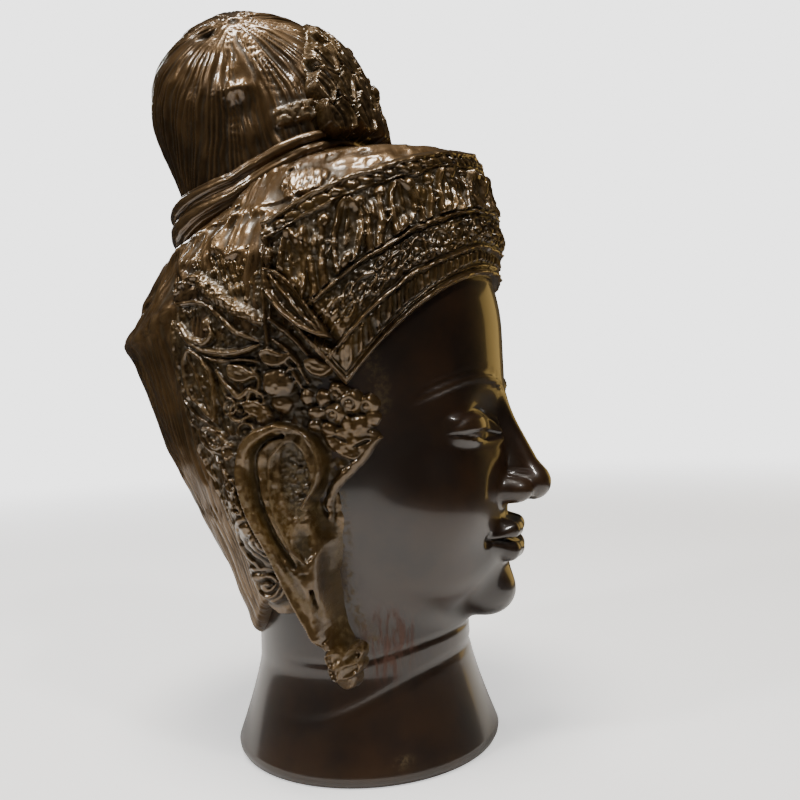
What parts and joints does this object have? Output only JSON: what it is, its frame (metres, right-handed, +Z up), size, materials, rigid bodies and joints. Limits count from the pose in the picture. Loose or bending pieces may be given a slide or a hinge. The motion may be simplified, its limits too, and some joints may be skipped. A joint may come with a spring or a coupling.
{
  "type": "buddha head sculpture",
  "caption": "Cast bronze head with a combed topknot, carved diadem, long ears and a round flared neck that it stands on.",
  "frame": {"origin": "centre of the round foot's flat underside", "axes": "the face looks along -Y, +X is the figure's left and +Z is up"},
  "size_m": [0.1524, 0.1868, 0.3201],
  "materials": {
    "dark_bronze": "cast bronze with a near-black brown patina, satin, golden where rubbed and olive dust in the recesses"
  },
  "bodies": {
    "root": {"buddha_head": "dark_bronze"}
  },
  "joints": []
}
